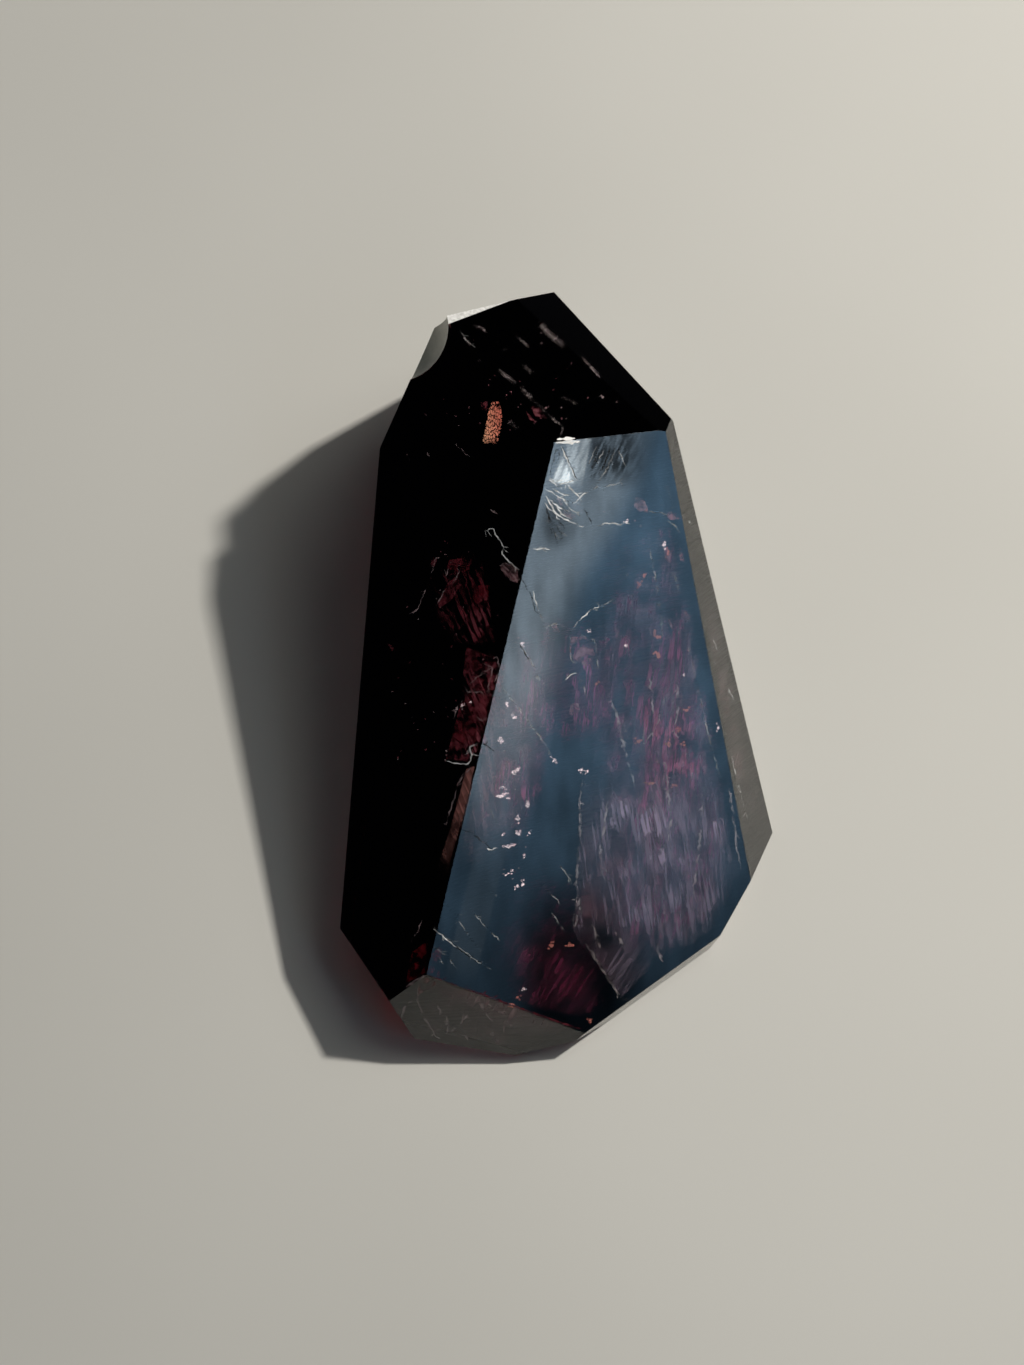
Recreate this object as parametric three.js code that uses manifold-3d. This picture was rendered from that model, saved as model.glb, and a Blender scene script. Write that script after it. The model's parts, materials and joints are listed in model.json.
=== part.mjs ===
// Garnet crystal: one palm-size stone, ground flat on many sides and polished.
// Millimetres, +Z up. It lies on its flat base with its long side along Y.
// The stone is made the way a lapidary makes it: a rough block is ground away facet by facet,
// and then a shell-shaped chip is knocked off one corner.

import * as THREE from 'three';
import { mergeVertices } from 'three/addons/utils/BufferGeometryUtils.js';
import Module from 'manifold-3d';

const wasm = await Module();
wasm.setup();
const { Manifold, Mesh } = wasm;

// Driving dimensions: the corners of the stone as it lies, base at Z = 0

const ridgeTop = [4.4, 19.5, 31.0];
const ridgeFoot = [-8.9, -32.1, 10.7];
const shoulder = [16.2, 21.9, 28.5];
const crownRight = [15.4, 21.9, 28.8];
const crownBack = [1.7, 37.2, 26.7];
const tip = [4.6, 41.0, 24.3];
const crownLeft = [-7.3, 35.4, 28.4];
const backLeft = [-7.4, 35.9, 27.9];
const chippedCorner = [-7.7, 37.0, 27.0];
const rightTop = [17.1, 23.8, 27.2];
const rightCorner = [28.7, -13.5, 1.0];
const rightHip = [25.7, -20.4, 5.6];
const rightKnee = [22.4, -26.0, 4.0];
const frontRight = [7.9, -36.5, 3.6];
const frontLow = [0.4, -38.4, 1.2];
const frontMiddle = [7.6, -37.0, 2.7];
const frontLeft = [-10.4, -37.2, 3.6];
const leftToe = [-12.9, -34.2, 8.0];
const leftFoot = [-18.3, -26.1, 7.0];
const leftTop = [-14.3, 23.0, 21.5];
const leftShoulder = [-13.6, 24.7, 22.3];

// Points on the base that set how far each lower facet leans

const footFront = [7.7, -36.4, 0];
const footMiddle = [3.0, -36.8, 0];
const footToe = [-3.0, -35.5, 0];
const footLeft = [-11.0, 0, 0];
const footBackLeft = [-14.0, 36.3, 0];
const footBack = [-3.0, 47.0, 0];
const footBackRight = [14.0, 38.0, 0];
const footRight = [20.5, 20.0, 0];

// The chip: a tall egg-shaped scoop beside the back left corner

const chipCentre = [-11.5, 34.5, 27.0];
const chipRadii = [4.8, 4.8, 7.0];
const chipSegments = 48;
const chipRings = 32;

// The rough block, a point well inside the stone, and a length longer than the block

const rough = [80, 100, 80];
const heart = new THREE.Vector3(0, 0, 12);
const reach = 400;

const garnet = new THREE.MeshStandardMaterial({ color: 0x3a0a12, roughness: 0.05, metalness: 0 });

// Each facet lies in the plane of three corners

const facets = [
  [ridgeTop, ridgeFoot, shoulder],
  [ridgeTop, leftTop, leftFoot],
  [ridgeTop, crownRight, crownLeft],
  [crownRight, crownBack, tip],
  [shoulder, rightHip, rightCorner],
  [ridgeFoot, frontRight, leftToe],
  [frontRight, rightKnee, footFront],
  [rightHip, rightKnee, rightCorner],
  [leftFoot, leftToe, frontLeft],
  [frontMiddle, frontLow, footMiddle],
  [frontLeft, frontLow, footToe],
  [leftTop, leftFoot, footLeft],
  [leftShoulder, chippedCorner, footBackLeft],
  [backLeft, tip, footBack],
  [tip, rightTop, footBackRight],
  [rightTop, rightCorner, footRight],
  [footLeft, footBack, footRight],
];

// Turn a closed three.js shape into a solid that can be cut

function toSolid(geometry) {
  const closed = geometry.clone();
  closed.deleteAttribute('normal');
  closed.deleteAttribute('uv');
  const merged = mergeVertices(closed);
  const vertProperties = new Float32Array(merged.attributes.position.array);
  const triVerts = new Uint32Array(merged.index.array);
  return new Manifold(new Mesh({ numProp: 3, vertProperties, triVerts }));
}

function toGeometry(solid) {
  const mesh = solid.getMesh();
  const geometry = new THREE.BufferGeometry();
  geometry.setAttribute('position', new THREE.BufferAttribute(mesh.vertProperties, 3));
  geometry.setIndex(new THREE.BufferAttribute(mesh.triVerts, 1));
  return geometry;
}

// The waste outside one facet: a block that stands on the facet and faces away from the heart

function waste(corners) {
  const [a, b, c] = corners.map((corner) => new THREE.Vector3(...corner));
  const plane = new THREE.Plane().setFromCoplanarPoints(a, b, c);
  if (plane.distanceToPoint(heart) > 0) {
    plane.negate();
  }
  const block = new THREE.BoxGeometry(reach, reach, reach);
  block.translate(0, 0, reach / 2);
  const turn = new THREE.Quaternion().setFromUnitVectors(new THREE.Vector3(0, 0, 1), plane.normal);
  block.applyQuaternion(turn);
  block.translate(a.x, a.y, a.z);
  return toSolid(block);
}

function chip() {
  const egg = new THREE.SphereGeometry(1, chipSegments, chipRings);
  egg.rotateX(Math.PI / 2);
  egg.scale(...chipRadii);
  egg.translate(...chipCentre);
  return toSolid(egg);
}

// Grind the block, knock off the chip, and set the stone with its base centred on the origin

function crystal() {
  let stone = toSolid(new THREE.BoxGeometry(...rough));
  for (const corners of facets) {
    stone = stone.subtract(waste(corners));
  }
  stone = stone.subtract(chip());
  const geometry = toGeometry(stone);
  geometry.computeBoundingBox();
  const { min, max } = geometry.boundingBox;
  geometry.translate(-(min.x + max.x) / 2, -(min.y + max.y) / 2, -min.z);
  return geometry;
}

const part = new THREE.Group();
const stone = new THREE.Mesh(crystal(), garnet);
stone.name = 'garnet_crystal';
part.add(stone);

export default part;
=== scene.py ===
# %% [markdown]
# # A polished garnet crystal
# The stone is one lump of garnet, ground flat on many sides and polished. It is so deep a red that
# it looks black where no light comes back. What makes it look like garnet and not like black glass
# is inside it and on its skin: healed cracks, feathery veils, bright flakes, worn edges and one
# shell-shaped chip. The lesson loads the stone's solid first, then gives it its skin, its body
# colour and its inclusions, and lights it last.

# %% Load the frame
import json
import math
import random

import bmesh
import bpy
from mathutils import Matrix, Vector, noise
from mathutils.bvhtree import BVHTree

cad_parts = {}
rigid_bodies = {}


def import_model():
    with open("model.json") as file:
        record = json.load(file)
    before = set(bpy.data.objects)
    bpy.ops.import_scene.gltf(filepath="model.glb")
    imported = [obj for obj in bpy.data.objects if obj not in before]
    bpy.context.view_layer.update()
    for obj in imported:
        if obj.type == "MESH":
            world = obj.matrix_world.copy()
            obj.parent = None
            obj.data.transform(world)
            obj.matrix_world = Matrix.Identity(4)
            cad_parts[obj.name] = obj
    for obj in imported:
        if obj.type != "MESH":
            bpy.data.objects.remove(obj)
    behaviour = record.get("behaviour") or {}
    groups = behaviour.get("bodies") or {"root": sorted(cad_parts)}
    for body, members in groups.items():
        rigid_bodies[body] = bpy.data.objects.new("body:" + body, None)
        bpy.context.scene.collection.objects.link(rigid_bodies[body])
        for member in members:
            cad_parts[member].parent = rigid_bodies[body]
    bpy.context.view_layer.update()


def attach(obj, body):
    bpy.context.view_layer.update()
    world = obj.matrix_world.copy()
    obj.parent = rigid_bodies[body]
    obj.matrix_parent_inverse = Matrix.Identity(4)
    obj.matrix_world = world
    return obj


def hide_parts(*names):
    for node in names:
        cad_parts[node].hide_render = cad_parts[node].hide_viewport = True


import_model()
MM = 0.001
STONE = "garnet_crystal"
random.seed(7)

# %% [markdown]
# ## The camera
# The picture looks down on the stone at about 69 degrees, from its thin end, with a lens of about
# 70 mm on a 36 mm frame. The aim is the point inside the stone that sits at the picture's centre.
# The camera comes first because the inclusions are placed by where they show in the picture.

# %% Camera
PHOTO_WIDTH, PHOTO_HEIGHT = 1024, 1365
LENS = 70.0
SENSOR = 36.0
NEAREST = 0.01
ELEVATION = math.radians(69)
AIM = Vector((-5.206, -5.550, 12.0)) * MM
DISTANCE = 286.94 * MM

towards_viewer = Vector((0, -math.cos(ELEVATION), math.sin(ELEVATION)))
picture_right = Vector((1, 0, 0))
picture_up = Vector((0, math.sin(ELEVATION), math.cos(ELEVATION)))

lens = bpy.data.cameras.new("camera")
lens.lens = LENS
lens.sensor_width = SENSOR
lens.clip_start = NEAREST
camera = bpy.data.objects.new("camera", lens)
camera.location = AIM + towards_viewer * DISTANCE
camera.rotation_euler = towards_viewer.to_track_quat("Z", "Y").to_euler()
bpy.context.collection.objects.link(camera)
bpy.context.scene.camera = camera
print("camera at, mm:", [round(v / MM, 1) for v in camera.location])

# %% [markdown]
# ## Lines of sight
# A point of the picture, x to the right and y down, stands for a line from the camera into the
# scene. Two small functions give that line and the place where it meets a plane. Lists of such
# points are used all through the lesson.


# %% Sight and plane
def sight(spot):
    across = (spot[0] - PHOTO_WIDTH / 2) / PHOTO_HEIGHT * SENSOR
    upward = (PHOTO_HEIGHT / 2 - spot[1]) / PHOTO_HEIGHT * SENSOR
    return (picture_right * across + picture_up * upward - towards_viewer * LENS).normalized()


def on_plane(spot, point, normal):
    ray = sight(spot)
    return camera.location + ray * ((point - camera.location).dot(normal) / ray.dot(normal))


middle = (PHOTO_WIDTH / 2, PHOTO_HEIGHT / 2)
print("middle of the picture at the aim, mm:", on_plane(middle, AIM, towards_viewer) / MM)

# %% [markdown]
# ## The stone's skin
# The solid has knife-sharp edges. A ground stone never does: the lap leaves each edge a hair blunt,
# and that hair of width is what catches the light as a bright line. A copy of the solid is merged
# into whole facets and its edges get a narrow bevel. The chip's scoop is one smooth shell, so its
# faces are shaded smooth and everything else stays flat. Beside the chip a sliver of the crown gets
# a near-white painted highlight, so the crown is cut along a line there.

# %% Copy the solid and find its facets
WELD = 0.002 * MM
FLAT = math.radians(0.4)
SCOOP_FACE = 3.0 * MM * MM
POLISHED, SCOOPED, HIGHLIGHTED = 0, 1, 2


def solid_copy():
    shell = bmesh.new()
    shell.from_mesh(bpy.data.objects[STONE].data)
    bmesh.ops.remove_doubles(shell, verts=shell.verts, dist=WELD)
    bmesh.ops.dissolve_limit(shell, angle_limit=FLAT, verts=shell.verts, edges=shell.edges)
    shell.normal_update()
    return shell


def is_scoop(face):
    return face.calc_area() < SCOOP_FACE


plain = solid_copy()
plain_tree = BVHTree.FromBMesh(plain)
skin = solid_copy()
for face in skin.faces:
    face.smooth = is_scoop(face)
    face.material_index = SCOOPED if is_scoop(face) else POLISHED
print("facets and scoop faces:", len(plain.faces))

# %% Paint a highlight beside the chipped corner
# The line bounds the sliver of crown that gets a painted highlight.
HIGHLIGHT_LINE = ((447.0, 324.5), (484, 310.5))
CROWN_SPOT = (520, 345)

crown_point, crown_normal, crown_index, _ = plain_tree.ray_cast(camera.location, sight(CROWN_SPOT))
skin.faces.ensure_lookup_table()
crown = skin.faces[crown_index]
start, end = [on_plane(spot, crown_point, crown_normal) for spot in HIGHLIGHT_LINE]
made = bmesh.ops.bisect_plane(skin, geom=[crown, *crown.edges, *crown.verts], plane_co=start,
                              plane_no=(end - start).cross(crown_normal))
corner = [face for face in made["geom"] if isinstance(face, bmesh.types.BMFace)]
corner.sort(key=lambda face: face.calc_area())
corner[0].material_index = HIGHLIGHTED
print("bruise, square mm:", round(corner[0].calc_area() / MM / MM, 2))

# %% Blunt the edges
EDGE_BLUNT = 0.13 * MM
EDGE_ANGLE = math.radians(14)

worn = []
for edge in skin.edges:
    if len(edge.link_faces) == 2 and edge.calc_face_angle(0) > EDGE_ANGLE:
        if not all(is_scoop(face) for face in edge.link_faces):
            worn.append(edge)
bmesh.ops.bevel(skin, geom=worn, offset=EDGE_BLUNT, offset_type="OFFSET", affect="EDGES",
                segments=2, profile=0.5, material=-1, clamp_overlap=True)
mesh = bpy.data.meshes.new("garnet_body")
skin.to_mesh(mesh)
skin.free()
body = bpy.data.objects.new("garnet_body", mesh)
bpy.context.collection.objects.link(body)
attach(body, "root")
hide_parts(STONE)
print("worn edges:", len(worn), "faces:", len(mesh.polygons))

# %% [markdown]
# ## Writing shaders as sums
# A shader is a graph of nodes. Written out link by link it is hard to read, so two small classes
# let a material be written as sums: a Wire is one output socket that can be added and multiplied,
# and a Graph makes any other node from its type, its settings and what goes into its sockets. A
# Wire can also be turned into a soft step between two limits, or kept from falling below a share.


# %% Wire
class Wire:
    def __init__(self, graph, socket):
        self.graph = graph
        self.socket = socket

    def sum(self, operation, first, second):
        return self.graph.wire("ShaderNodeMath", {"operation": operation}, {0: first, 1: second})

    def __add__(self, other):
        return self.sum("ADD", self, other)

    __radd__ = __add__

    def __mul__(self, other):
        return self.sum("MULTIPLY", self, other)

    __rmul__ = __mul__

    def __sub__(self, other):
        return self.sum("SUBTRACT", self, other)

    def __rsub__(self, other):
        return self.sum("SUBTRACT", other, self)

    def whole(self):
        return self.graph.wire("ShaderNodeMath", {"operation": "FLOOR"}, {0: self})

    def fraction(self):
        return self.graph.wire("ShaderNodeMath", {"operation": "FRACT"}, {0: self})

    def between(self, low, high):
        return self.graph.wire("ShaderNodeMapRange", {"interpolation_type": "SMOOTHSTEP"},
                               {"Value": self, "From Min": low, "From Max": high})

    def at_least(self, share):
        return share + (1 - share) * self

    def at_most(self, limit):
        return self.sum("MINIMUM", self, limit)


print("a wire can also give:", [name for name in vars(Wire) if not name.startswith("_")])


# %% Graph
class Graph:
    def __init__(self, tree):
        self.tree = tree
        self.tree.nodes.clear()

    def node(self, kind, settings=None, links=None):
        made = self.tree.nodes.new(kind)
        for name, value in (settings or {}).items():
            if name == "stops":
                self.set_stops(made.color_ramp.elements, value)
            else:
                setattr(made, name, value)
        for name, value in (links or {}).items():
            if isinstance(value, Wire):
                self.tree.links.new(value.socket, made.inputs[name])
            else:
                made.inputs[name].default_value = value
        return made

    def set_stops(self, elements, stops):
        for count, (position, colour) in enumerate(stops):
            stop = elements[count] if count < len(elements) else elements.new(position)
            stop.position = position
            stop.color = colour

    def wire(self, kind, settings=None, links=None, out=0):
        return Wire(self, self.node(kind, settings, links).outputs[out])

    def place(self, stretch=(1, 1, 1), turn=(0, 0, 0), out="Object"):
        coordinates = self.wire("ShaderNodeTexCoord", out=out)
        turned = self.wire("ShaderNodeMapping", None, {"Vector": coordinates, "Rotation": turn})
        return self.wire("ShaderNodeMapping", None, {"Vector": turned, "Scale": stretch})

    def map_sides(self):
        split = self.node("ShaderNodeSeparateXYZ", None, {"Vector": self.place(out="UV")})
        return Wire(self, split.outputs["X"]), Wire(self, split.outputs["Y"])

    def clouds(self, scale, detail=4.0, place=None):
        return self.wire("ShaderNodeTexNoise", None,
                         {"Vector": place or self.place(), "Scale": scale, "Detail": detail})

    def finish(self, shader, volume=None):
        output = self.node("ShaderNodeOutputMaterial")
        self.tree.links.new(shader.outputs[0], output.inputs["Surface"])
        if volume:
            self.tree.links.new(volume.outputs[0], output.inputs["Volume"])


def new_material(name):
    material = bpy.data.materials.new(name)
    material.use_nodes = True
    return material, Graph(material.node_tree)


print("shader helpers ready")

# %% [markdown]
# ## Garnet
# Garnet bends light strongly, so its index is 1.78, and it drinks blue and green light far faster
# than red: a centimetre of it passes about a quarter of the red and next to none of the rest. Both
# are plain numbers on the shader. What changes over the skin is the polish, which is a little hazy
# in places, so a soft noise goes into the roughness.

# %% Garnet material
GARNET_IOR = 1.78
ABSORB_PER_METRE = 460.0
ABSORB_COLOUR = (0.70, 0.0, 0.15, 1)
GARNET_COLOUR = (1.0, 0.97, 0.97, 1)
POLISH, HAZE = 0.002, 0.008
HAZE_SCALE, HAZE_DETAIL = 260.0, 5.0
HAZE_STARTS, HAZE_FULL = 0.4, 0.8
CENTIMETRE = 10 * MM


def garnet():
    material, graph = new_material("garnet")
    haze = graph.clouds(HAZE_SCALE, HAZE_DETAIL).between(HAZE_STARTS, HAZE_FULL)
    shader = graph.node("ShaderNodeBsdfPrincipled", None,
                        {"Base Color": GARNET_COLOUR, "Roughness": POLISH + HAZE * haze,
                         "IOR": GARNET_IOR, "Transmission Weight": 1.0})
    volume = graph.node("ShaderNodeVolumeAbsorption", None,
                        {"Color": ABSORB_COLOUR, "Density": ABSORB_PER_METRE})
    graph.finish(shader, volume)
    return material


body.data.materials.append(garnet())
red_left = math.exp(-ABSORB_PER_METRE * (1 - ABSORB_COLOUR[0]) * CENTIMETRE)
print("red light left after a centimetre:", round(red_left, 2))

# %% [markdown]
# ## Chip and painted highlight
# Where the stone was knocked, the chip's scoop is painted a pale olive grey, a painted reflection
# of the floor, and the sliver of crown beside it is painted nearly white, a painted highlight. Both
# hide the dark body. Both are the same shader with other tones: a noise picks between a dark and a
# light tone.

# %% Surfaces with painted light
DARK_STOP, LIGHT_STOP = 0.3, 0.7
CHIP_DARK, CHIP_LIGHT = (0.66, 0.65, 0.58, 1), (0.86, 0.84, 0.76, 1)
HIGHLIGHT_DIM, HIGHLIGHT_BRIGHT = (0.55, 0.54, 0.53, 1), (0.95, 0.95, 0.94, 1)


def two_tones(graph, dark, light, clouds):
    stops = [(DARK_STOP, dark), (LIGHT_STOP, light)]
    return graph.wire("ShaderNodeValToRGB", {"stops": stops}, {"Fac": clouds})


# A plain two-tone surface; its pale tones are painted light.
def painted_light_tones(name, dark, light, scale, roughness):
    material, graph = new_material(name)
    tone = two_tones(graph, dark, light, graph.clouds(scale))
    shader = graph.node("ShaderNodeBsdfPrincipled", None,
                        {"Base Color": tone, "Roughness": roughness})
    graph.finish(shader)
    return material


# The scoop's pale olive tones are a painted reflection of the floor.
body.data.materials.append(painted_light_tones("chip_painted_reflection", CHIP_DARK, CHIP_LIGHT, scale=700.0, roughness=0.4))
# The near-white tones on the crown beside the chip are a painted highlight.
body.data.materials.append(painted_light_tones("bruise", HIGHLIGHT_DIM, HIGHLIGHT_BRIGHT, scale=2500.0, roughness=0.5))
print("materials on the body:", [material.name for material in body.data.materials])

# %% [markdown]
# ## Looking into the stone
# Everything sealed in the stone is placed by where it shows. A line of sight through a point of the
# picture meets a facet, bends as it enters the garnet and goes on inward. A depth along the bent
# line gives the place, in millimetres. A depth below nothing means just above the skin, for marks
# that lie on it.

# %% Seat a point by its place in the picture
RIDGE_TOP = (556, 446)


def bend(ray, normal):
    ratio = 1 / GARNET_IOR
    facing = -ray.dot(normal)
    through = math.sqrt(1 - ratio * ratio * (1 - facing * facing))
    return (ray * ratio + normal * (ratio * facing - through)).normalized()


def entry(spot):
    ray = sight(spot)
    hit, normal, _, _ = plain_tree.ray_cast(camera.location, ray)
    if hit is None:
        raise ValueError(f"no facet at {spot}")
    return hit, normal, ray


def seat(spot, depth):
    hit, normal, ray = entry(spot)
    if depth < 0:
        return hit - normal * depth * MM
    return hit + bend(ray, normal) * depth * MM


print("ridge top on the skin, mm:", [round(v / MM, 1) for v in seat(RIDGE_TOP, 0)])

# %% [markdown]
# ## Sheets on rungs
# Cracks and veils are all thin sheets. Each one is a grid, hung on rungs like a rope ladder: every
# rung has a left and a right end in the picture, and the grid runs from the first rung to the last.
# Then each point of the grid is seated in the stone. A slow noise waves the sheet a little.

# %% Hang a grid on rungs
RIPPLE = 0.035
HALF = 0.5


def spot_on(rungs, side, down):
    spans = len(rungs) - 1
    step = min(int(down * spans), spans - 1)
    part = down * spans - step
    left = Vector(rungs[step][0]).lerp(Vector(rungs[step + 1][0]), part)
    right = Vector(rungs[step][1]).lerp(Vector(rungs[step + 1][1]), part)
    return left.lerp(right, side)


def waved(spot, depth, wave):
    return depth + wave * noise.noise(Vector((spot[0], spot[1], depth)) * RIPPLE)


def add_sheet(shape, rungs, depth, wave=0.0, across=1, along=None):
    made = bmesh.ops.create_grid(shape, x_segments=across, y_segments=along or len(rungs) - 1,
                                 size=HALF, calc_uvs=True)
    for vert in made["verts"]:
        spot = spot_on(rungs, vert.co.x + HALF, HALF - vert.co.y)
        vert.co = seat(spot, waved(spot, depth, wave))


def new_shape():
    shape = bmesh.new()
    shape.loops.layers.uv.new("sheet")
    return shape


def add_piece(name, shape, material):
    shape.normal_update()
    for face in shape.faces:
        if face.normal.dot(towards_viewer) < 0:
            face.normal_flip()
        face.smooth = True
    made = bpy.data.meshes.new(name)
    shape.to_mesh(made)
    shape.free()
    piece = bpy.data.objects.new(name, made)
    made.materials.append(material)
    bpy.context.collection.objects.link(piece)
    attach(piece, "root")
    print(name, "faces:", len(made.polygons))


print("middle of a square sheet:", spot_on([((0, 0), (1, 0)), ((0, 1), (1, 1))], HALF, HALF))

# %% [markdown]
# ## Lines
# A crack that reaches the skin shows as a thin white line. Each is a narrow strip that follows a
# wandering path, thins out at both ends and throws off short branches. Its colour is broken up by
# a noise in the alpha, because only parts of a crack catch the light. Open cracks are painted
# black, a painted shade in the gap. Widths and lengths are in picture points, like the paths.

# %% Line strips
STEP = 2.6
BRANCH_CHANCE = 0.13
THINNEST, THICKEST = 0.35, 1.4
END_WIDTH, END_GROWTH = 0.25, 4.0
BRANCH_WIDTH = 0.6
BRANCH_ASIDE, BRANCH_ONWARD = (2, 5), (1, 5)
CRACK_BREAKS, CRACK_ROUGHNESS = 900.0, 0.45


def wander(path, jitter):
    points = [Vector(path[0])]
    for first, last in zip(path, path[1:]):
        count = max(1, round((Vector(last) - Vector(first)).length / STEP))
        for step in range(1, count + 1):
            away = Vector((random.uniform(-jitter, jitter), random.uniform(-jitter, jitter)))
            points.append(Vector(first).lerp(Vector(last), step / count) + away)
    return points


def sideways(points, place):
    along = points[min(place + 1, len(points) - 1)] - points[max(place - 1, 0)]
    return Vector((-along.y, along.x)).normalized()


def strip_rungs(points, width):
    rungs = []
    for place, point in enumerate(points):
        from_end = min(place, len(points) - 1 - place) / len(points)
        taper = min(1.0, END_WIDTH + END_GROWTH * from_end)
        half = sideways(points, place) * width * taper * random.uniform(THINNEST, THICKEST) / 2
        rungs.append((point + half, point - half))
    return rungs


def add_line(shape, path, width, depth, jitter):
    points = wander(path, jitter)
    add_sheet(shape, strip_rungs(points, width), depth)
    onward = (points[-1] - points[0]).normalized()
    for place, point in enumerate(points):
        if random.random() < BRANCH_CHANCE:
            away = sideways(points, place) * random.choice((-1, 1)) * random.uniform(*BRANCH_ASIDE)
            tip = point + away + onward * random.uniform(*BRANCH_ONWARD)
            branch = [point, point.lerp(tip, HALF), tip]
            add_sheet(shape, strip_rungs(branch, width * BRANCH_WIDTH), depth)


def lines_piece(name, paths, width, depth, material, jitter=0.8):
    shape = new_shape()
    for path in paths:
        add_line(shape, path, width, depth, jitter)
    add_piece(name, shape, material)


def crack_material(name, colour, cover, gaps=(0.34, 0.6)):
    material, graph = new_material(name)
    broken = graph.clouds(CRACK_BREAKS).between(*gaps)
    shader = graph.node("ShaderNodeBsdfPrincipled", None,
                        {"Base Color": colour, "Roughness": CRACK_ROUGHNESS, "Alpha": cover * broken})
    graph.finish(shader)
    return material


print("step along a line, in picture points:", STEP)

# %% [markdown]
# ## Cracks on the skin
# The brightest cracks make a small web just below the ridge's top end. Fainter ones run down the
# broad facet and across the foot. A few have opened and are painted black, a painted shade in the
# gap. The top edge has a painted highlight in white, and the foot's edge has painted dull red light,
# the red seen through its bevel. All lie a hair above the skin.

# %% Bright cracks on the skin
WHITE = (0.86, 0.87, 0.88, 1)
SKIN = -0.012
BRIGHT_CRACKS = [
    [(559, 485), (567, 483), (574.5, 480.5)],
    [(548.5, 480), (555, 484), (559, 485)],
    [(545, 489), (551.5, 492.5), (557.5, 497), (564.5, 500), (571.5, 502.5), (576, 502.5)],
    [(576, 502.5), (580.5, 497), (588, 491)],
    [(545, 503), (548.5, 508), (554, 512.5), (559, 516), (567, 520), (574.5, 523), (583, 527)],
    [(597.5, 525.5), (604.5, 524), (613, 523), (620.5, 524.5), (628, 521.5)],
    [(549, 478), (556, 482), (563, 480)],
    [(552, 488), (560, 494), (570, 496)],
    [(549, 500), (560, 508), (570, 512)],
    [(556, 505), (562, 514), (572, 520)],
    [(563, 500), (572, 510), (580, 516)],
    [(566, 484), (574, 492), (580, 498)],
    [(546, 496), (553, 508), (558, 520)],
    [(533, 548.5), (537, 550), (542, 548.5), (550.5, 549)],
    [(533, 591), (535, 599), (537, 605)],
    [(579, 621), (591, 610), (600, 606.5)],
    [(531, 673), (536, 675), (540, 680)],
    [(565, 680), (571.5, 674.5), (576, 673)],
    [(561, 446), (566, 457), (572, 470), (576, 480)],
    [(485, 531), (492, 528), (499, 538.5), (504, 547.5), (502, 554), (510, 562), (519, 570)],
    [(447, 761), (460.5, 764.5), (470, 763), (473, 752)],
    [(478, 743), (470, 747), (472, 756)],
    [(487, 848), (492, 850), (497, 848)],
    [(433.5, 929), (456, 947)],
]
lines_piece(
    "bright_cracks", BRIGHT_CRACKS, width=1.15, depth=SKIN,
    material=crack_material("bright_crack", colour=WHITE, cover=1.0, gaps=(0.30, 0.55)))

# %% Faint cracks on the skin
FAINT_CRACKS = [
    [(588, 491), (597.5, 487), (605, 487), (616, 484), (622, 482.5)],
    [(536, 603), (540.5, 613.5), (543, 621), (546, 627.5), (553, 624.5), (560.5, 625), (567, 627.5)],
    [(568, 635), (573, 627.5), (579, 620.5)],
    [(600, 606.5), (610, 601.5), (616, 596)],
    [(569.5, 636.5), (571.5, 661.5), (584.5, 667), (598.5, 668), (594, 640), (581, 634.5)],
    [(578, 672), (581.5, 682), (586.5, 695)],
    [(648, 511.5), (662, 513), (668, 515.5)],
    [(668, 521), (674, 524.5), (679, 532)],
    [(666.5, 485), (674, 506)],
    [(649.5, 548), (657, 586), (660, 609), (663.5, 638)],
    [(674, 571), (679, 591)],
    [(685, 632), (694.5, 675), (702, 704.5), (709.5, 740), (720, 777)],
    [(655.5, 755), (666.5, 786.5)],
    [(495, 678), (517, 706), (538, 734), (551, 753)],
    [(519, 643), (528.5, 658), (540, 678)],
    [(433.5, 927), (456, 945), (476.5, 961), (492.5, 970)],
    [(454, 915.5), (467.5, 934), (481, 952)],
    [(434, 947), (447, 956.5), (456, 968)],
    [(436, 955), (444, 964)],
    [(490, 890.5), (497, 896.5)],
    [(470, 908), (486, 927), (504, 944)],
    [(443, 900), (457, 916)],
    [(540, 881.5), (560.5, 904.5)],
    [(551.5, 913), (565, 931.5)],
    [(560, 865), (572, 882)],
    [(479, 795), (484, 803)],
    [(490, 810), (497, 821)],
    [(460, 330), (466, 340), (474, 347)],
    [(688, 520), (692, 526), (697, 524)],
    [(704, 613), (711, 632), (717, 650)],
    [(714, 662), (727, 688), (737, 706)],
    [(731, 756), (739, 786), (747, 818)],
    [(616, 447), (612, 458), (604, 474), (596, 485)],
    [(617, 447), (622, 457), (626, 467)],
    [(606, 447), (600, 458), (594, 470)],
    [(597, 446), (592, 455), (589, 464)],
    [(547, 520), (553, 528), (559, 540)],
    [(552, 517), (560, 528), (566, 536)],
]
lines_piece(
    "faint_cracks", FAINT_CRACKS, width=1.0, depth=SKIN,
    material=crack_material("faint_crack", colour=WHITE, cover=0.34, gaps=(0.42, 0.62)))

# %% Open cracks with painted shade, and painted edge light
# The black is painted shade inside the open cracks.
PAINTED_CRACK_SHADE = (0.004, 0.004, 0.005, 1)
# The white is a painted highlight on the top edge.
HIGHLIGHT_WHITE = (0.98, 0.98, 0.98, 1)
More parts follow.
